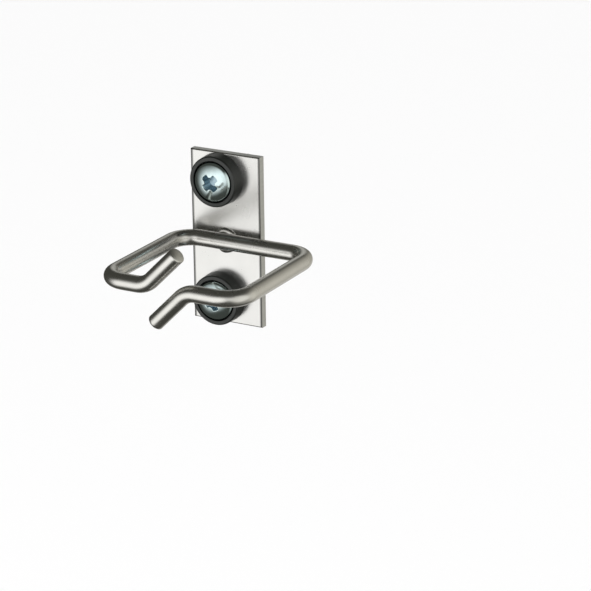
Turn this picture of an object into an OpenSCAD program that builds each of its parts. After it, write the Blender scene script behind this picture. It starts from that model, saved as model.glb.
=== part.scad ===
// Open wire ring on a small plate, for leading cables along a 19 inch rack rail.
// Millimetres. The origin lies on the rail's face, midway between the two screws.
// -Y is out of the rack, +X is to the right and +Z is up.

/* [Plate] */
// Width of the plate
plate_w = 19.2; // [17:0.1:30]
// Height of the plate
plate_h = 43.2; // [38:0.1:60]
// Thickness of the plate's sheet
plate_t = 2; // [1.5:0.1:3]
// Rounding of the plate's front edges, where the blank was sheared
plate_edge_r = 0.35; // [0.1:0.05:0.6]
// How far the plate's middle lies to the right of the screws
plate_shift_x = 1.6; // [-2:0.1:2]
// How far the plate's middle lies below the screws' middle
plate_drop = -0.1; // [-1:0.1:1]

/* [Wire ring] */
// Diameter of the wire
wire_d = 4; // [3:0.1:5]
// Width of the ring over the wire
ring_w = 40; // [34:0.1:60]
// Reach of the ring from the plate's face to the front of the wire
ring_depth = 40; // [34:0.1:60]
// How far the ring's middle lies to the right of the plate's middle
ring_shift_x = 7; // [0:0.1:8]
// Bend radius on the wire's centre line
bend_r = 5.5; // [4:0.1:7]
// Angle at which the two wire ends leave the ring's plane
end_angle = 45; // [35:1:50]
// Length of each wire end, from the bend's corner to the cut face
end_len = 12.4; // [10:0.1:16]
// Clear width of the slanted slot between the two wire ends
slot_w = 3.8; // [3:0.1:6]
// How far the slot's middle lies to the left of the ring's middle
slot_shift_x = 0.8; // [0:0.1:3]
// Bevel on the wire's cut faces
wire_end_bevel = 0.25; // [0.1:0.05:0.6]

/* [Weld] */
// Gap that the weld leaves between the wire and the plate
weld_gap = 0.2; // [0.1:0.05:0.5]
// Diameter of the weld where it meets the plate
weld_d = 6.6; // [5.5:0.1:8]
// Height of the weld's dome above the plate
weld_h = 1.5; // [1:0.1:2]

/* [Screws] */
// Distance between the two screws
screw_pitch = 30.2; // [28:0.1:31.8]
// Diameter of the screw's thread
screw_d = 5; // [4:0.5:5.5]
// Length of the screw under its head
screw_len = 16; // [12:1:25]
// How much the screw's neck, which has no thread, is thinner on each side
neck_step = 0.3; // [0.1:0.05:0.5]
// Diameter of the screw's pan head
head_d = 10; // [9:0.1:10.5]
// Height of the pan head
head_h = 3.7; // [3:0.1:4.2]
// Radius of the head's domed top
crown_r = 10; // [7:0.5:14]
// Rounding between the head's side and its top
shoulder_r = 1.2; // [0.5:0.1:1.6]
// Width of the cross recess over two opposite wings, at the head's top
recess_d = 4.8; // [4:0.1:5.4]
// Depth of the cross recess
recess_depth = 2.5; // [1.5:0.1:2.8]
// Width of the recess over two opposite wings, at its bottom
recess_bottom_d = 2.4; // [1.5:0.1:3]
// Width of one wing of the cross recess
recess_wing_w = 1.3; // [0.8:0.1:1.6]
// Diameter of the round core where the wings of the recess meet
recess_core_d = 2.6; // [1.8:0.1:3]
// Bevel at the screw's tip
screw_tip_bevel = 0.6; // [0.3:0.1:1]
// Turn of the upper screw's cross
cross_turn_upper = 45; // [0:1:90]
// Turn of the lower screw's cross
cross_turn_lower = 24; // [0:1:90]
// Clearance around the screw in the plate's hole
plate_hole_play = 0.75; // [0.2:0.05:1]

/* [Cup washers] */
// Thickness of the washer's wall at its rim
cup_wall = 1.05; // [0.8:0.05:1.5]
// How far the washer's side spreads from the rim to the plate
cup_flare = 0.15; // [0:0.05:0.8]
// Height of the washer
cup_h = 3.4; // [3:0.1:6]
// Thickness of the washer's floor, which the screw's head presses on
cup_floor = 1.2; // [1:0.1:2.4]
// Clearance between the screw's head and the cup
cup_head_play = 0.3; // [0.2:0.05:0.9]
// Clearance around the screw in the washer's floor
cup_hole_play = 0.2; // [0.1:0.05:0.5]
// Rounding of the washer's rim
cup_rim_r = 0.4; // [0.1:0.05:0.45]

/* [Hidden] */

$fn = 96;
// Overlap of a cutting shape beyond the face that it cuts
cut = 1;

wire_r = wire_d / 2;
// Depth of the wire's centre line where it crosses the plate, and of the ring's front
wire_y = -(plate_t + weld_gap + wire_r);
front_y = -(plate_t + ring_depth - wire_r);
// Height of the ring's plane, on the plate's middle
ring_z = -plate_drop;
ring_x = plate_shift_x + ring_shift_x;
left_x = ring_x - (ring_w / 2 - wire_r);
right_x = ring_x + (ring_w / 2 - wire_r);

// The wire ends are parallel, a slot and a wire apart, so their bends' corners lie further apart
corner_gap = (slot_w + wire_d) / sin(end_angle);
left_corner_x = ring_x - slot_shift_x - corner_gap / 2;
right_corner_x = ring_x - slot_shift_x + corner_gap / 2;
// How far the wire's last straight reaches into its bend, and how much thinner it is
joint_depth = 0.1;
joint_step = 0.005;
// Length that a bend to the wire ends takes from the straight on each side of its corner
end_bend_cut = bend_r * tan(end_angle / 2);

plate_hole_d = screw_d + 2 * plate_hole_play;
cup_hole_d = screw_d + 2 * cup_hole_play;
cup_bore_d = head_d + 2 * cup_head_play;
cup_rim_d = cup_bore_d + 2 * cup_wall;
cup_base_d = cup_rim_d + 2 * cup_flare;
// Depth of the face that the screw's head presses on; the screw's neck ends at the rail's face
seat_y = -(plate_t + cup_floor);
neck_len = -seat_y;
upper_z = screw_pitch / 2;
lower_z = -screw_pitch / 2;

// Centre of the head's domed top, and the shoulder's centre, which lies inside the dome's arc
crown_z = head_h - crown_r;
shoulder_x = head_d / 2 - shoulder_r;
shoulder_z = crown_z + sqrt(pow(crown_r - shoulder_r, 2) - pow(shoulder_x, 2));
// Height at which the ends of the recess's wings come out through the dome
recess_top_z = crown_z + sqrt(pow(crown_r, 2) - pow(recess_d / 2, 2));
recess_bottom_z = head_h - recess_depth;
recess_taper = (recess_d - recess_bottom_d) / (recess_top_z - recess_bottom_z);

// Radius of the ball that the weld's dome is the top of
weld_ball_r = (pow(weld_d / 2, 2) + pow(weld_h, 2)) / (2 * weld_h);

// Turns a shape that stands on Z so that it points out of the rack
module facing_out() {
    rotate([90, 0, 0]) children();
}

// Bar along X that rounds off the edge at its own origin: it fills the corner outside the arc
module edge_cutter(length, radius) {
    rotate([0, 90, 0]) {
        translate([0, 0, -length / 2 - cut]) linear_extrude(length + 2 * cut) {
            difference() {
                translate([-cut, -cut]) square(radius + cut);
                translate([radius, radius]) circle(radius);
            }
        }
    }
}

// Straight length of wire along Z; what follows it starts at its end
module straight(length) {
    cylinder(r = wire_r, h = length);
    translate([0, 0, length]) children();
}

// Bend that turns the wire from Z towards +X; what follows it starts at its end, again along Z
module bend(angle) {
    translate([bend_r, 0, 0]) rotate([90, 0, 180]) {
        rotate_extrude(angle = angle) translate([bend_r, 0]) circle(wire_r);
        rotate([0, 0, angle]) translate([bend_r, 0, 0]) rotate([90, 0, 180]) children();
    }
}

// Last straight of the wire, up to its cut face. It is a hair thinner than the wire and starts
// inside the bend, so that the two join as one solid.
module wire_end(length) {
    rotate_extrude() polygon([
        [0, -joint_depth],
        [wire_r - joint_step, -joint_depth],
        [wire_r - joint_step, length - wire_end_bevel],
        [wire_r - joint_step - wire_end_bevel, length],
        [0, length]
    ]);
}

// Half of the ring beyond the back run: side run, front run and wire end.
// It sets out along Z and bends twice to +X, and its end turns out of the ring's plane.
module half_ring(front_run) {
    bend(90) straight(wire_y - front_y - 2 * bend_r)
        bend(90) straight(front_run - bend_r - end_bend_cut)
        rotate([0, 0, 90]) bend(end_angle) wire_end(end_len - end_bend_cut);
}

module mounting_plate() {
    color("gainsboro") difference() {
        translate([plate_shift_x, 0, -plate_drop]) difference() {
            translate([-plate_w / 2, -plate_t, -plate_h / 2]) cube([plate_w, plate_t, plate_h]);
            for (side = [0, 180]) rotate([0, side, 0]) {
                translate([0, -plate_t, plate_h / 2]) edge_cutter(plate_w, plate_edge_r);
                translate([plate_w / 2, -plate_t, 0]) rotate([0, 90, 0]) edge_cutter(plate_h, plate_edge_r);
            }
        }
        for (z = [upper_z, lower_z]) {
            translate([0, cut, z]) facing_out() cylinder(d = plate_hole_d, h = plate_t + 2 * cut);
        }
    }
}

module wire_ring() {
    color("darkgray") translate([left_x + bend_r, wire_y, ring_z]) {
        rotate([90, 0, -90]) half_ring(left_corner_x - left_x);
        rotate([-90, 0, -90]) straight(right_x - left_x - 2 * bend_r) half_ring(right_x - right_corner_x);
    }
}

// Low dome on the plate, hollowed by the wire that is pressed into it
module weld_nugget() {
    color("silver") difference() {
        translate([plate_shift_x, -plate_t, ring_z]) facing_out() intersection() {
            translate([0, 0, weld_h - weld_ball_r]) sphere(weld_ball_r);
            cylinder(d = weld_d + 2 * cut, h = weld_h + cut);
        }
        translate([plate_shift_x, wire_y, ring_z]) rotate([0, 90, 0])
            cylinder(r = wire_r, h = 2 * weld_d, center = true);
    }
}

// Cup washer, its base on the plate and its rim around the screw's head
module cup_washer() {
    color([0.1, 0.1, 0.1]) facing_out() rotate_extrude() difference() {
        union() {
            polygon([
                [cup_hole_d / 2, 0],
                [cup_base_d / 2, 0],
                [cup_rim_d / 2, cup_h - cup_rim_r],
                [cup_rim_d / 2 - cup_rim_r, cup_h],
                [cup_hole_d / 2, cup_h]
            ]);
            translate([cup_rim_d / 2 - cup_rim_r, cup_h - cup_rim_r]) circle(cup_rim_r);
        }
        translate([0, cup_floor]) square([cup_bore_d / 2, cup_h]);
    }
}

// Half section of the pan head: upright side, rounded shoulder and domed top
module head_section() {
    square([head_d / 2, shoulder_z]);
    translate([shoulder_x, shoulder_z]) circle(shoulder_r);
    intersection() {
        translate([0, crown_z]) circle(crown_r);
        polygon([[0, crown_z], 2 * [shoulder_x, shoulder_z - crown_z] + [0, crown_z], [0, 2 * head_h]]);
        square([head_d / 2, head_h]);
    }
}

// Four tapered wings around a small core
module cross_recess() {
    translate([0, 0, recess_bottom_z]) intersection() {
        cylinder(d1 = recess_bottom_d, d2 = recess_bottom_d + recess_taper * (recess_depth + cut),
                 h = recess_depth + cut);
        union() {
            for (turn = [0, 90]) rotate([0, 0, turn]) {
                translate([-recess_d, -recess_wing_w / 2, 0])
                    cube([2 * recess_d, recess_wing_w, recess_depth + cut]);
            }
            cylinder(d = recess_core_d, h = recess_depth + cut);
        }
    }
}

// Half section of the shank: neck under the head, thread at its outer diameter and bevelled tip
module shank_section() {
    polygon([
        [0, 0],
        [screw_d / 2 - neck_step, 0],
        [screw_d / 2 - neck_step, -neck_len],
        [screw_d / 2, -neck_len],
        [screw_d / 2, screw_tip_bevel - screw_len],
        [screw_d / 2 - screw_tip_bevel, -screw_len],
        [0, -screw_len]
    ]);
}

// Pan head screw
module screw(cross_turn) {
    color("lightsteelblue") facing_out() {
        difference() {
            rotate_extrude() head_section();
            rotate([0, 0, cross_turn]) cross_recess();
        }
        rotate_extrude() shank_section();
    }
}

module cup_washer_upper() {
    translate([0, -plate_t, upper_z]) cup_washer();
}

module cup_washer_lower() {
    translate([0, -plate_t, lower_z]) cup_washer();
}

module screw_upper() {
    translate([0, seat_y, upper_z]) screw(cross_turn_upper);
}

module screw_lower() {
    translate([0, seat_y, lower_z]) screw(cross_turn_lower);
}

mounting_plate();
wire_ring();
weld_nugget();
cup_washer_upper();
cup_washer_lower();
screw_upper();
screw_lower();
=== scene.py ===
"""Looks of the rack cable ring: a wire ring welded to a plate that two screws hold through cup washers.

The row frame's origin lies on the rail's face between the two screws. -Y is out of the rack and +Z is up.
"""

import bmesh
import bpy
import math
from mathutils import Matrix, Vector


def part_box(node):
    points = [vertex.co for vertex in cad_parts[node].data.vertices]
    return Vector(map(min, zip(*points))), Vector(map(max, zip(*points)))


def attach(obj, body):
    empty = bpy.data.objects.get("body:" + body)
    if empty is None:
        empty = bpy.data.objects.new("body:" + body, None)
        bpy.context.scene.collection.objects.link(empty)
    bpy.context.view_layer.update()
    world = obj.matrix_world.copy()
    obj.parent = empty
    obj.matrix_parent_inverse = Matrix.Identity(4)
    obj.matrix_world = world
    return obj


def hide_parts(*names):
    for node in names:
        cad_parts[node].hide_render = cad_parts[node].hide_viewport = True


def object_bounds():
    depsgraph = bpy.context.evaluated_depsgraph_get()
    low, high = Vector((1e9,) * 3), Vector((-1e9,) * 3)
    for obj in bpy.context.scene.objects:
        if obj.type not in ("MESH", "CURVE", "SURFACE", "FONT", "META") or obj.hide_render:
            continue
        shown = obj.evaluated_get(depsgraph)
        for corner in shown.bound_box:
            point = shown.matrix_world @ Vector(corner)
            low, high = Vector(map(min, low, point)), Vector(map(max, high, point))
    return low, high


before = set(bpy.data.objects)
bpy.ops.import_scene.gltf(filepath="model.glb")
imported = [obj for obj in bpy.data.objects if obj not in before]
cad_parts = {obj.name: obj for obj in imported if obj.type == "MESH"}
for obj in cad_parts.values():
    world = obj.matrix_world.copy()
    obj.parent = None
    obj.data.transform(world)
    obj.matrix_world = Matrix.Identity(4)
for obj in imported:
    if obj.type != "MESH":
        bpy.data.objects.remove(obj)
cad_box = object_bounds()

MM = 0.001

# ---------------------------------------------------------------- sizes that the solids' boxes don't give

# Wire: bends and ends are measured on its middle line, ends from their sharp
# corner, and the slot square to its slant
WIRE_R = 2 * MM
WIRE_SIDES = 64
BEND_R = 5.5 * MM
BEND_STEP = 0.22 * MM
STRAIGHT_STEP = 0.8 * MM
END_ANGLE = math.radians(45)
END_LENGTH = 12.4 * MM
END_BEVEL = 0.25 * MM
SLOT_W = 3.8 * MM
SLOT_SHIFT = 0.8 * MM

# Plate: painted shade along its left and right edges, standing for the dark reflection of rounded edges: how
# far in from the edges it is full and has faded
EDGE_SHADE_FULL = 0.42 * MM
EDGE_SHADE_FADED = 0.77 * MM
EDGE_SHADE_SHIFT = 0.12 * MM

# Screw head: it rests on the seat in its cup washer, which is that high over the rail's face. Other heights
# are over the seat.
SEAT_HEIGHT = 3.2 * MM
HEAD_R = 5 * MM
HEAD_H = 3.7 * MM
HEAD_SIDES = 288
HEAD_BEVEL = 0.12 * MM
CROWN_R = 10 * MM
CROWN_STEPS = 10
SHOULDER_R = 1.2 * MM
SHOULDER_STEPS = 12

# Cross recess: it lies inside the zone, and its wings reach less far out at the bottom than at the top
RECESS_ZONE_R = 3.1 * MM
RECESS_STEPS = 64
RECESS_R = 2.4 * MM
RECESS_BOTTOM_R = 1.2 * MM
RECESS_CORE_R = 1.3 * MM
RECESS_DEPTH = 2.5 * MM
# Depth into the recess over which the painted shade grows to full
RECESS_SHADE_DEPTH = 0.5 * MM
RECESS_LIP = 0.22 * MM
WING_W = 1.3 * MM
WALL_STEEPNESS = 12
CROSS_TURNS = {"screw_upper": math.radians(45), "screw_lower": math.radians(24)}

# Shank: the thread's depth is a share of its pitch, as for every ISO metric thread
NECK_R = 2.2 * MM
NECK_FLARE = 0.15 * MM
SHANK_SIDES = 64
THREAD_R = 2.5 * MM
THREAD_PITCH = 0.8 * MM
THREAD_DEPTH = 0.6134 * THREAD_PITCH
THREAD_FLANK_SLOPE = 1.25
THREAD_ROOT_FLAT = 0.05
THREAD_STEPS = 14
TIP_BEVEL = 0.6 * MM

# Weld: its outline wavers by sine waves, each with a count, a phase and a share of the radius
WELD_H = 1.5 * MM
WELD_RIM_H = 0.5 * MM
WELD_RIM_SLOPE = 0.3
WELD_RIM_SQUARENESS = 16
WELD_SAG = 0.4 * MM
WELD_SIDES = 96
WELD_RINGS = 40
WELD_SPREAD = 0.97
WELD_WAVES = ((3, 1, 0.02), (7, 2, 0.01))

# ---------------------------------------------------------------- surfaces, pairs of tints blended by noise

PLATE_TINTS = ((0.73, 0.725, 0.71), (0.68, 0.675, 0.66))
# Painted shade along the plate's left and right edges, and how strongly it covers the plate's tint
EDGE_SHADE_TINT = (0.08, 0.08, 0.076)
EDGE_SHADE_STRENGTH = 0.85
SHEARED_TINTS = ((0.48, 0.49, 0.48), (0.66, 0.67, 0.66))
WIRE_TINTS = ((0.72, 0.71, 0.68), (0.65, 0.64, 0.61))
CUT_TINTS = ((0.54, 0.535, 0.5), (0.7, 0.695, 0.65))
WELD_TINTS = ((0.6, 0.59, 0.56), (0.75, 0.74, 0.71))
PLASTIC_TINTS = ((0.004, 0.006, 0.005), (0.01, 0.014, 0.011))
ZINC_TINTS = ((0.73, 0.84, 0.85), (0.6, 0.74, 0.755))
# Painted shade in the cross recesses: darker, bluer zinc
RECESS_SHADE_TINT = (0.44, 0.56, 0.63)
METAL = {"Metallic": 1}
PLASTIC = {"Specular IOR Level": 0.62}

# ---------------------------------------------------------------- camera and studio

# Camera: where it looks, how far off, from which side, and its lens, sensor and clipping
CAMERA_AIM = Vector((19.5, 0, -12.3)) * MM
CAMERA_DISTANCE = 610.2 * MM
CAMERA_AZIMUTH = math.radians(28.95)
CAMERA_ELEVATION = math.radians(19.66)
CAMERA_ROLL = math.radians(0.66)
CAMERA_LENS = 153.68
CAMERA_SENSOR = 36
CAMERA_CLIP = (0.01, 20)

# Studio, in metres. The floor lies below the part, and the lamp aims at the middle of the shell.
FLOOR_DROP = 0.6
FLOOR_SIZE = 8
FLOOR_SURFACE = {"Base Color": (0.96, 0.96, 0.96, 1), "Roughness": 0.9}
SHELL_R = 0.5
SHELL_CENTRE = (0, -0.02, 0)
LAMP_PLACE = (-0.7, -1.0, 0.9)
LAMP_SIZE = 0.8
LAMP_POWER = 4
WORLD_STRENGTH = 1

# What the metal reflects, all in degrees. Azimuths run from the front towards the left.
# The window is a soft-edged area of light. Each edge is a plane through the shell's centre: azimuth and
# elevation of the direction that points straight into the window, and the half width of the fade.
WINDOW_EDGES = {
    "top": (-23, -60, 18),
    "bottom": (47, 50, 12),
    "right": (61, 0, 30),
    "left": (-31, 0, 20),
}
WINDOW_COLOUR = (1.25, 1.25, 1.24)
# Round glows: azimuth, elevation, the angles at which the glow is full and has faded, and its colour
GLOWS = (
    (-147, 0, 10, 58, (0.42, 0.405, 0.36)),
    (152, 20, 2, 18, (0.5, 0.5, 0.48)),
    (-95, -8, 20, 66, (0.33, 0.325, 0.305)),
    (-68, 4, 22, 44, (0.56, 0.56, 0.54)),
    (164, -36, 8, 38, (0.5, 0.495, 0.48)),
)
SHELL_BASE = (0.06, 0.06, 0.052)


# ---------------------------------------------------------------- shader


class Shader:
    """A material whose nodes are added one call at a time."""

    def __init__(self, name, surface):
        self.material = bpy.data.materials.new(name)
        self.material.use_nodes = True
        self.nodes = self.material.node_tree.nodes
        self.links = self.material.node_tree.links
        self.bsdf = self.nodes["Principled BSDF"]
        for socket, value in surface.items():
            self.bsdf.inputs[socket].default_value = value

    def add(self, kind, **settings):
        node = self.nodes.new("ShaderNode" + kind)
        for key, value in settings.items():
            setattr(node, key, value)
        return node

    def link(self, output, target):
        self.links.new(output, target)

    def attribute(self, name):
        return self.add("Attribute", attribute_name=name).outputs["Fac"]

    def split(self, vector):
        """X, Y and Z of a vector, as the outputs of one node."""
        node = self.add("SeparateXYZ")
        self.link(vector, node.inputs[0])
        return node.outputs

    def noise(self, density, detail, roughness=0.5, uv_map=None):
        """Noise with density waves per unit along each axis, over the object's metres or over a UV map."""
        if uv_map:
            place = self.add("UVMap", uv_map=uv_map).outputs["UV"]
        else:
            place = self.add("TexCoord").outputs["Object"]
        mapping = self.add("Mapping")
        mapping.inputs["Scale"].default_value = density
        self.link(place, mapping.inputs["Vector"])
        node = self.add("TexNoise")
        node.inputs["Scale"].default_value = 1
        node.inputs["Detail"].default_value = detail
        node.inputs["Roughness"].default_value = roughness
        self.link(mapping.outputs["Vector"], node.inputs["Vector"])
        return node.outputs["Fac"]

    def ranged(self, value, from_low, from_high, to_low, to_high):
        node = self.add("MapRange")
        for socket, number in zip(node.inputs[1:5], (from_low, from_high, to_low, to_high)):
            socket.default_value = number
        self.link(value, node.inputs["Value"])
        return node.outputs["Result"]

    def uneven(self, noise, low, high):
        """Low to high over the span that a noise mostly keeps to."""
        return self.ranged(noise, 0.3, 0.7, low, high)

    def blend(self, factor, first, second):
        """Colour between first and second, each a colour or an output."""
        node = self.add("Mix", data_type="RGBA")
        self.link(factor, node.inputs["Factor"])
        for socket, colour in ((node.inputs[6], first), (node.inputs[7], second)):
            if isinstance(colour, tuple):
                socket.default_value = (*colour, 1)
            else:
                self.link(colour, socket)
        return node.outputs[2]

    def compute(self, operation, *values):
        """Result of a math node, each value a number or an output."""
        node = self.add("Math", operation=operation)
        for socket, value in zip(node.inputs, values):
            if isinstance(value, (int, float)):
                socket.default_value = value
            else:
                self.link(value, socket)
        return node.outputs["Value"]

    def add_share(self, value, share, amount):
        """Value plus share times amount."""
        return self.compute("ADD", value, self.compute("MULTIPLY", share, amount))

    def finish(self, colour, roughness, height, depth):
        """Links colour, roughness and a bump, which is depth high where height is 1. Returns the material."""
        bump = self.add("Bump")
        bump.inputs["Distance"].default_value = depth
        bump.inputs["Strength"].default_value = 1
        self.link(height, bump.inputs["Height"])
        self.link(colour, self.bsdf.inputs["Base Color"])
        self.link(roughness, self.bsdf.inputs["Roughness"])
        self.link(bump.outputs["Normal"], self.bsdf.inputs["Normal"])
        return self.material


# ---------------------------------------------------------------- materials


def plate_material():
    """Satin nickel on sheet steel: rolling grain, painted shade along the left and right edges in place of
    the dark reflection of rounded edges, rough sheared sides.
    """
    low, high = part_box("mounting_plate")
    half_width = (high.x - low.x) / 2
    middle = (low.x + high.x) / 2 + EDGE_SHADE_SHIFT
    s = Shader("plate_nickel", METAL)
    grain = s.noise((900, 900, 9000), detail=4)
    clouds = s.noise((120, 120, 120), detail=3)
    shear = s.noise((3500, 350, 3500), detail=3)
    # 1 on the sheared sides, whose normals hardly point along Y, and 0 on the front and the back
    facing = s.compute("ABSOLUTE", s.split(s.add("NewGeometry").outputs["Normal"])["Y"])
    side = s.ranged(facing, 0.2, 0.6, 1, 0)
    across = s.split(s.add("TexCoord").outputs["Object"])["X"]
    off_centre = s.compute("ABSOLUTE", s.compute("SUBTRACT", across, middle))
    # Painted shade: dark bands along the left and right edges, where rounded edges would reflect the dark
    # room
    edge_shade = s.ranged(off_centre, half_width - EDGE_SHADE_FADED, half_width - EDGE_SHADE_FULL, 0, EDGE_SHADE_STRENGTH)
    face = s.blend(edge_shade, s.blend(clouds, *PLATE_TINTS), EDGE_SHADE_TINT)
    colour = s.blend(side, face, s.blend(shear, *SHEARED_TINTS))
    roughness = s.add_share(s.uneven(clouds, low=0.23, high=0.29), side, amount=0.1)
    height = s.add_share(grain, s.compute("MULTIPLY", shear, side), amount=6)
    return s.finish(colour, roughness, height, depth=0.002 * MM)


def wire_material():
    """Satin nickel on drawn wire: faint lines along the wire, duller patches, rough cut faces."""
    s = Shader("wire_nickel", METAL)
    lines = s.noise((14, 0.06, 1), detail=4, roughness=0.6, uv_map="wire")
    clouds = s.noise((160, 160, 160), detail=3)
    saw = s.noise((2500, 2500, 2500), detail=4)
    cut = s.attribute("cut")
    colour = s.blend(cut, s.blend(clouds, *WIRE_TINTS), s.blend(saw, *CUT_TINTS))
    roughness = s.add_share(s.uneven(clouds, low=0.23, high=0.3), cut, amount=0.2)
    height = s.add_share(lines, s.compute("MULTIPLY", saw, cut), amount=8)
    return s.finish(colour, roughness, height, depth=0.004 * MM)


def weld_material():
    """Nickel over a spattered weld: lumpy and uneven in gloss."""
    s = Shader("weld_nickel", METAL)
    lumps = s.noise((700, 700, 700), detail=4)
    roughness = s.uneven(lumps, low=0.15, high=0.3)
    return s.finish(s.blend(lumps, *WELD_TINTS), roughness, lumps, depth=0.03 * MM)


def plastic_material():
    """Black moulded plastic with a fine spark-eroded grain."""
    s = Shader("washer_plastic", PLASTIC)
    grain = s.noise((6000, 6000, 6000), detail=3)
    clouds = s.noise((500, 500, 500), detail=3)
    roughness = s.uneven(clouds, low=0.3, high=0.42)
    return s.finish(s.blend(clouds, *PLASTIC_TINTS), roughness, grain, depth=0.006 * MM)


def screw_material():
    """Bright zinc with a blue passivation, uneven in tint and gloss, with painted shade in the recess, which
    is also duller.
    """
    s = Shader("screw_zinc", METAL)
    clouds = s.noise((900, 900, 900), detail=4)
    marks = s.noise((5000, 5000, 5000), detail=2)
    recess = s.attribute("recess")
    # Painted shade: the zinc darkens towards the recess's tint with depth into the recess
    colour = s.blend(recess, s.blend(clouds, *ZINC_TINTS), RECESS_SHADE_TINT)
    roughness = s.add_share(s.uneven(clouds, low=0.09, high=0.16), recess, amount=0.2)
    return s.finish(colour, roughness, marks, depth=0.003 * MM)


# ---------------------------------------------------------------- mesh helpers


def new_piece(name, bm, material, slot, *replaced):
    """Smooth piece of the object that stands for its CAD nodes. It is made of bm, which is freed."""
    mesh = bpy.data.meshes.new(name)
    bm.to_mesh(mesh)
    bm.free()
    mesh.polygons.foreach_set("use_smooth", [True] * len(mesh.polygons))
    mesh.materials.append(material)
    piece = bpy.data.objects.new(name, mesh)
    bpy.context.scene.collection.objects.link(piece)
    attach(piece, "root")
    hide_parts(*replaced)


def angles_round(sides):
    return [2 * math.pi * i / sides for i in range(sides)]


def circle(bm, radius, height, angles):
    """Ring of vertices round the Z axis."""
    return [bm.verts.new((radius * math.cos(a), radius * math.sin(a), height)) for a in angles]


def skin_rings(bm, rings, flip=False):
    """Quads between neighbouring rings of vertices. Returns the faces ring by ring."""
    if flip:
        rings = [list(reversed(ring)) for ring in rings]
    bands = []
    for low, high in zip(rings, rings[1:]):
        band = []
        for i in range(len(low)):
            j = (i + 1) % len(low)
            band.append(bm.faces.new((low[i], low[j], high[j], high[i])))
        bands.append(band)
    return bands


def cap(bm, ring, centre, flip=False):
    """Fan of triangles from ring to a vertex at centre. Returns that vertex."""
    middle = bm.verts.new(centre)
    for i, vertex in enumerate(ring):
        after = ring[(i + 1) % len(ring)]
        bm.faces.new((after, vertex, middle) if flip else (vertex, after, middle))
    return middle


# ---------------------------------------------------------------- wire ring


def wire_corners():
    """Ends and corners of the wire's centre line, from the left end to the right one."""
    low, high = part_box("wire_ring")
    left, right = low.x + WIRE_R, high.x - WIRE_R
    front, back = low.y + WIRE_R, high.y - WIRE_R
    level = (low.z + high.z) / 2
    slot_x = (left + right) / 2 - SLOT_SHIFT
    half_gap = (SLOT_W + 2 * WIRE_R) / math.sin(END_ANGLE) / 2
    left_corner = Vector((slot_x - half_gap, front, level))
    right_corner = Vector((slot_x + half_gap, front, level))
    rise = Vector((math.cos(END_ANGLE), 0, math.sin(END_ANGLE))) * END_LENGTH
    return [
        left_corner + rise,
        left_corner,
        Vector((left, front, level)),
        Vector((left, back, level)),
        Vector((right, back, level)),
        Vector((right, front, level)),
        right_corner,
        right_corner - rise,
    ]


def straight_points(start, end):
    """Evenly spaced (point, direction) pairs, without the last point."""
    count = max(1, round((end - start).length / STRAIGHT_STEP))
    direction = (end - start).normalized()
    return [(start.lerp(end, i / count), direction) for i in range(count)]


def rounded_path(corners):
    """Points along straight stretches joined by arcs, as (point, direction) pairs."""
    path = []
    start = corners[0]
    for before, corner, after in zip(corners, corners[1:], corners[2:]):
        arriving = (corner - before).normalized()
        leaving = (after - corner).normalized()
        turn = arriving.angle(leaving)
        cut = BEND_R * math.tan(turn / 2)
        path += straight_points(start, corner - arriving * cut)
        axis = arriving.cross(leaving).normalized()
        centre = corner - arriving * cut + axis.cross(arriving) * BEND_R
        spoke = corner - arriving * cut - centre
        steps = max(2, round(turn * BEND_R / BEND_STEP))
        for i in range(steps):
            swing = Matrix.Rotation(turn * i / steps, 3, axis)
            path.append((centre + swing @ spoke, swing @ arriving))
        start = corner + leaving * cut
    path += straight_points(start, corners[-1])
    path.append((corners[-1], (corners[-1] - start).normalized()))
    return path


def wire_sections():
    """The wire's cross sections, as (centre, direction, distance along the wire, radius)."""
    path = rounded_path(wire_corners())
    start, direction = path[0]
    sections = [
        (start, direction, 0, WIRE_R - END_BEVEL),
        (start + direction * END_BEVEL, direction, END_BEVEL, WIRE_R),
    ]
    travelled = 0
    for (before, _), (point, direction) in zip(path, path[1:-1]):
        travelled += (point - before).length
        if travelled > 2 * END_BEVEL:
            sections.append((point, direction, travelled, WIRE_R))
    end, direction = path[-1]
    length = travelled + (end - path[-2][0]).length
    sections.append((end - direction * END_BEVEL, direction, length - END_BEVEL, WIRE_R))
    sections.append((end, direction, length, WIRE_R - END_BEVEL))
    return sections


def make_wire_ring(material):
    """Tube swept along the bent centre line, with bevelled cut faces.

    Its UV map holds turns round the wire and millimetres along it, and "cut" marks the cut faces.
    """
    sections = wire_sections()
    bm = bmesh.new()
    uv = bm.loops.layers.uv.new("wire")
    cut = bm.verts.layers.float.new("cut")
    previous = sections[0][1]
    side = previous.cross(Vector((0, 1, 0))).normalized()
    rings = []
    for point, direction, _, radius in sections:
        side = previous.rotation_difference(direction) @ side
        side = (side - direction * side.dot(direction)).normalized()
        previous = direction
        across = direction.cross(side)
        rings.append([
            bm.verts.new(point + (side * math.cos(a) + across * math.sin(a)) * radius)
            for a in angles_round(WIRE_SIDES)
        ])
    for k, band in enumerate(skin_rings(bm, rings)):
        low, high = sections[k][2] / MM, sections[k + 1][2] / MM
        for i, face in enumerate(band):
            turns = (i / WIRE_SIDES, (i + 1) / WIRE_SIDES, (i + 1) / WIRE_SIDES, i / WIRE_SIDES)
            for loop, turn, along in zip(face.loops, turns, (low, low, high, high)):
                loop[uv].uv = (turn, along)
    for k, flip in ((0, True), (-1, False)):
        for vertex in (cap(bm, rings[k], sections[k][0], flip), *rings[k]):
            vertex[cut] = 1
    new_piece("bent_wire", bm, material, "wire", "wire_ring")


# ---------------------------------------------------------------- screws


def shoulder_centre():
    """Distance from the axis and height over the seat of the shoulder's centre."""
    x = HEAD_R - SHOULDER_R
    return x, HEAD_H - CROWN_R + math.sqrt((CROWN_R - SHOULDER_R) ** 2 - x**2)


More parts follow.
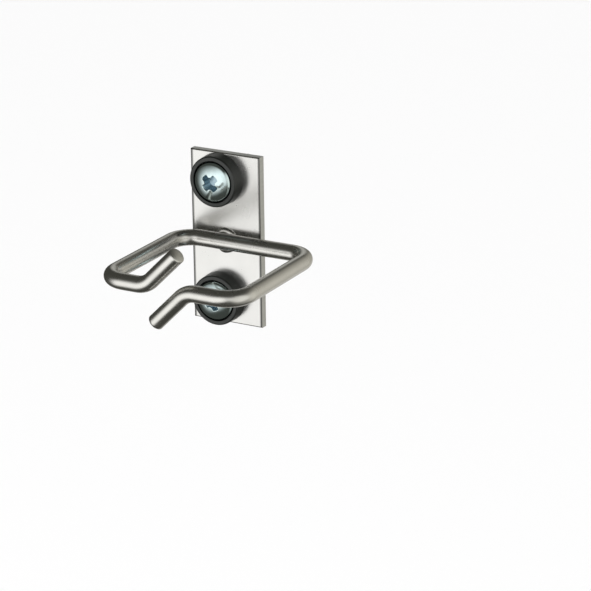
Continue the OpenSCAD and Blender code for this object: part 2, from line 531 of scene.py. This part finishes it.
def crown_end():
    """Distance from the axis at which the domed top runs into the shoulder."""
    return shoulder_centre()[0] * CROWN_R / (CROWN_R - SHOULDER_R)


def crown_height(radius):
    """Height of the domed top over the seat, at a distance from the axis."""
    return HEAD_H - CROWN_R + math.sqrt(CROWN_R**2 - radius**2)


def soft_min(a, b, width):
    """The lower of a and b, rounded over where they meet within width."""
    share = max(0, width - abs(a - b)) / width
    return min(a, b) - share * share * width / 4


def recess_height(x, y):
    """Height of the cross recess's surface: steep wing walls, sloping wing ends and a round core."""
    bottom = HEAD_H - RECESS_DEPTH
    radius = math.hypot(x, y)
    slope = RECESS_DEPTH / (RECESS_R - RECESS_BOTTOM_R)
    floor = bottom + max(0, radius - RECESS_BOTTOM_R) * slope
    wing = max(0, min(abs(x), abs(y)) - WING_W / 2) * WALL_STEEPNESS
    core = max(0, radius - RECESS_CORE_R) * WALL_STEEPNESS
    return max(floor, bottom + min(wing, core))


def head_point(radius, angle, turn):
    """Point of the head's top, in the dome or in the recess, which is turned about the axis."""
    x, y = radius * math.cos(angle), radius * math.sin(angle)
    u = x * math.cos(turn) + y * math.sin(turn)
    v = y * math.cos(turn) - x * math.sin(turn)
    height = crown_height(radius)
    if radius < RECESS_ZONE_R:
        height = soft_min(height, recess_height(u, v), RECESS_LIP)
    return Vector((x, y, height))


def add_head(bm, turn):
    """Domed top with its cross recess, shoulder, side and flat underside. "recess" marks how deep it is,
    which sets the painted shade and duller zinc there.
    """
    recess = bm.verts.layers.float.new("recess")
    angles = angles_round(HEAD_SIDES)
    radii = [RECESS_ZONE_R * (i + 1) / RECESS_STEPS for i in range(RECESS_STEPS)]
    radii += [RECESS_ZONE_R + (crown_end() - RECESS_ZONE_R) * i / CROWN_STEPS for i in range(1, CROWN_STEPS)]
    rings = [[bm.verts.new(head_point(radius, a, turn)) for a in angles] for radius in radii]
    # How deep each point lies in the recess, which sets the painted shade there
    for radius, ring in zip(radii, rings):
        for vertex in ring:
            vertex[recess] = min(1, (crown_height(radius) - vertex.co.z) / RECESS_SHADE_DEPTH)
    shoulder_x, shoulder_z = shoulder_centre()
    start = math.acos((crown_end() - shoulder_x) / SHOULDER_R)
    for i in range(SHOULDER_STEPS + 1):
        lean = start * (1 - i / SHOULDER_STEPS)
        reach = shoulder_x + SHOULDER_R * math.cos(lean)
        rings.append(circle(bm, reach, shoulder_z + SHOULDER_R * math.sin(lean), angles))
    for radius, height in ((HEAD_R, HEAD_BEVEL), (HEAD_R - HEAD_BEVEL, 0), (NECK_R, 0)):
        rings.append(circle(bm, radius, height, angles))
    cap(bm, rings[0], head_point(0, 0, turn))[recess] = 1
    skin_rings(bm, rings, flip=True)


def thread_radius(z, angle, top, bottom):
    """Radius of the thread's flanks at height z, fading out at its top and bottom."""
    phase = (z / THREAD_PITCH - angle / (2 * math.pi)) % 1
    flank = THREAD_FLANK_SLOPE * (1 - abs(2 * phase - 1)) - THREAD_ROOT_FLAT
    crest = min(1, max(0, flank))
    fade = min(1, (top - z) / THREAD_PITCH, (z - bottom) / TIP_BEVEL)
    radius = THREAD_R - THREAD_DEPTH * (1 - crest) * max(0, fade)
    return min(radius, THREAD_R - max(0, TIP_BEVEL - (z - bottom)))


def add_shank(bm, length):
    """Neck from the seat to the rail's face, then the rolled thread down to the bevelled tip."""
    angles = angles_round(SHANK_SIDES)
    top, bottom = -SEAT_HEIGHT, -length
    rings = [circle(bm, NECK_R, 0, angles), circle(bm, NECK_R, top + NECK_FLARE, angles)]
    steps = round((top - bottom) / THREAD_PITCH * THREAD_STEPS)
    for k in range(steps + 1):
        height = top + (bottom - top) * k / steps
        ring = []
        for a in angles:
            radius = thread_radius(height, a, top, bottom)
            ring.append(bm.verts.new((radius * math.cos(a), radius * math.sin(a), height)))
        rings.append(ring)
    skin_rings(bm, rings, flip=True)
    cap(bm, rings[-1], (0, 0, bottom), flip=True)


def make_screw(node, material):
    """Pan head with a rounded cross recess, thin neck and rolled thread."""
    low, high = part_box(node)
    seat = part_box("mounting_plate")[1].y - SEAT_HEIGHT
    bm = bmesh.new()
    add_head(bm, CROSS_TURNS[node])
    add_shank(bm, high.y - seat)
    place = Matrix.Translation(((low.x + high.x) / 2, seat, (low.z + high.z) / 2))
    bm.transform(place @ Matrix.Rotation(math.pi / 2, 4, "X"))
    bmesh.ops.recalc_face_normals(bm, faces=bm.faces)
    new_piece(node + "_turned", bm, material, "screws", node)


# ---------------------------------------------------------------- weld


def weld_rise(radius, reach):
    """Height of the weld over the plate: a spherical cap whose foot is squeezed out to a low rim."""
    ball = (reach**2 + WELD_H**2) / (2 * WELD_H)
    cap_rise = WELD_H - ball + math.sqrt(ball**2 - radius**2)
    rim_rise = WELD_RIM_H + WELD_RIM_SLOPE * (reach - radius)
    return max(cap_rise, rim_rise * math.sqrt(max(0, 1 - (radius / reach) ** WELD_RIM_SQUARENESS)))


def make_weld(material):
    """Low lumpy weld that the wire is pressed into, a little below the wire's middle."""
    low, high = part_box("weld_nugget")
    wire_low, wire_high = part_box("wire_ring")
    level = (wire_low.z + wire_high.z) / 2 - WELD_SAG
    radius = (high.x - low.x) / 2
    centre = Vector(((low.x + high.x) / 2, high.y, level))
    bm = bmesh.new()
    rings = []
    for k in range(1, WELD_RINGS + 1):
        share = k / WELD_RINGS
        rise = weld_rise(radius * share, radius)
        ring = []
        for a in angles_round(WELD_SIDES):
            ripple = sum(size * math.sin(count * a + phase) for count, phase, size in WELD_WAVES)
            reach = radius * share * (WELD_SPREAD + share * ripple)
            ring.append(bm.verts.new(centre + Vector((reach * math.cos(a), -rise, reach * math.sin(a)))))
        rings.append(ring)
    cap(bm, rings[0], centre + Vector((0, -WELD_H, 0)))
    skin_rings(bm, rings, flip=True)
    bmesh.ops.recalc_face_normals(bm, faces=bm.faces)
    new_piece("weld_bead", bm, material, "weld", "weld_nugget")


# ---------------------------------------------------------------- studio


def paint_node(node, material):
    """Gives a carried-over CAD node its material."""
    for piece_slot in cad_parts[node].material_slots:
        piece_slot.material = material


def make_floor():
    """Pale floor that shows as plain white and keeps a soft shadow."""
    bpy.ops.mesh.primitive_plane_add(size=FLOOR_SIZE, location=(0, 0, cad_box[0].z - FLOOR_DROP))
    floor = bpy.context.object
    floor.name = "floor"
    floor.data.materials.append(Shader("floor_paper", FLOOR_SURFACE).material)


def unit_vector(azimuth, elevation):
    """Direction at azimuth degrees from the front towards the left and elevation degrees up."""
    around, up = math.radians(azimuth), math.radians(elevation)
    return Vector((-math.sin(around) * math.cos(up), -math.cos(around) * math.cos(up), math.sin(up)))


class ShellLight:
    """Glowing material of the shell: a base colour plus a soft window and round glows, set by direction."""

    def __init__(self, name, base):
        self.material = bpy.data.materials.new(name)
        self.material.use_nodes = True
        self.nodes = self.material.node_tree.nodes
        self.links = self.material.node_tree.links
        self.nodes.remove(self.nodes["Principled BSDF"])
        self.place = self.nodes.new("ShaderNodeTexCoord").outputs["Object"]
        self.base = base
        self.total = None

    def ramp(self, direction, low, high):
        """0 to 1 as the cosine of the angle to a direction rises from low to high."""
        along = self.nodes.new("ShaderNodeVectorMath")
        along.operation = "DOT_PRODUCT"
        self.links.new(self.place, along.inputs[0])
        along.inputs[1].default_value = direction / SHELL_R
        ramp = self.nodes.new("ShaderNodeMapRange")
        ramp.interpolation_type = "SMOOTHSTEP"
        ramp.inputs["From Min"].default_value = low
        ramp.inputs["From Max"].default_value = high
        self.links.new(along.outputs["Value"], ramp.inputs["Value"])
        return ramp.outputs["Result"]

    def product(self, first, second):
        node = self.nodes.new("ShaderNodeMath")
        node.operation = "MULTIPLY"
        self.links.new(first, node.inputs[0])
        self.links.new(second, node.inputs[1])
        return node.outputs["Value"]

    def add(self, share, colour):
        """Adds colour, weighted by share, to the light so far."""
        light = self.nodes.new("ShaderNodeVectorMath")
        light.operation = "MULTIPLY_ADD"
        self.links.new(share, light.inputs[0])
        light.inputs[1].default_value = colour
        if self.total is None:
            light.inputs[2].default_value = self.base
        else:
            self.links.new(self.total, light.inputs[2])
        self.total = light.outputs["Vector"]

    def window(self, edges, colour):
        """Adds light inside all the edges, each an azimuth, an elevation and a half width of the fade."""
        share = None
        for azimuth, elevation, fade in edges:
            width = math.sin(math.radians(fade))
            inside = self.ramp(unit_vector(azimuth, elevation), -width, width)
            share = inside if share is None else self.product(share, inside)
        self.add(share, colour)

    def glow(self, azimuth, elevation, full, faded, colour):
        """Adds a round glow, full and faded at those angles from its middle."""
        low, high = math.cos(math.radians(faded)), math.cos(math.radians(full))
        self.add(self.ramp(unit_vector(azimuth, elevation), low, high), colour)

    def finish(self):
        light = self.nodes.new("ShaderNodeEmission")
        self.links.new(self.total, light.inputs["Color"])
        self.links.new(light.outputs[0], self.nodes["Material Output"].inputs["Surface"])
        return self.material


def make_shell():
    """Dark room round the object with soft bright areas in it, which only reflections see."""
    bpy.ops.mesh.primitive_uv_sphere_add(segments=64, ring_count=32, radius=SHELL_R, location=SHELL_CENTRE)
    shell = bpy.context.object
    shell.name = "studio_shell"
    light = ShellLight("studio_shell", SHELL_BASE)
    light.window(WINDOW_EDGES.values(), WINDOW_COLOUR)
    for glow in GLOWS:
        light.glow(*glow)
    shell.data.materials.append(light.finish())
    for flag in ("visible_camera", "visible_diffuse", "visible_shadow", "visible_transmission"):
        setattr(shell, flag, False)


def make_lamp():
    """Square lamp up at the front left, which no reflection shows."""
    data = bpy.data.lights.new("key", "AREA")
    data.size = LAMP_SIZE
    data.energy = LAMP_POWER
    lamp = bpy.data.objects.new("key", data)
    lamp.location = LAMP_PLACE
    lamp.rotation_euler = (Vector(SHELL_CENTRE) - Vector(LAMP_PLACE)).to_track_quat("-Z", "Y").to_euler()
    lamp.visible_glossy = False
    bpy.context.scene.collection.objects.link(lamp)


def make_world():
    """White surroundings."""
    world = bpy.data.worlds.new("studio")
    world.use_nodes = True
    background = world.node_tree.nodes["Background"]
    background.inputs["Color"].default_value = (1, 1, 1, 1)
    background.inputs["Strength"].default_value = WORLD_STRENGTH
    bpy.context.scene.world = world


def make_camera():
    """Long lens that looks down at the hook from the front right."""
    data = bpy.data.cameras.new("camera")
    data.lens = CAMERA_LENS
    data.sensor_width = CAMERA_SENSOR
    data.clip_start, data.clip_end = CAMERA_CLIP
    camera = bpy.data.objects.new("camera", data)
    back = Vector((
        math.sin(CAMERA_AZIMUTH) * math.cos(CAMERA_ELEVATION),
        -math.cos(CAMERA_AZIMUTH) * math.cos(CAMERA_ELEVATION),
        math.sin(CAMERA_ELEVATION),
    ))
    camera.rotation_mode = "QUATERNION"
    camera.location = CAMERA_AIM + back * CAMERA_DISTANCE
    roll = Matrix.Rotation(-CAMERA_ROLL, 4, "Z").to_quaternion()
    camera.rotation_quaternion = (-back).to_track_quat("-Z", "Y") @ roll
    bpy.context.scene.collection.objects.link(camera)
    bpy.context.scene.camera = camera


# ---------------------------------------------------------------- scene

bpy.context.scene.view_settings.view_transform = "Standard"

paint_node("mounting_plate", plate_material())
plastic = plastic_material()
for washer in ("cup_washer_upper", "cup_washer_lower"):
    paint_node(washer, plastic)
make_wire_ring(wire_material())
make_weld(weld_material())
zinc = screw_material()
for screw in CROSS_TURNS:
    make_screw(screw, zinc)

make_floor()
make_world()
make_shell()
make_lamp()
make_camera()
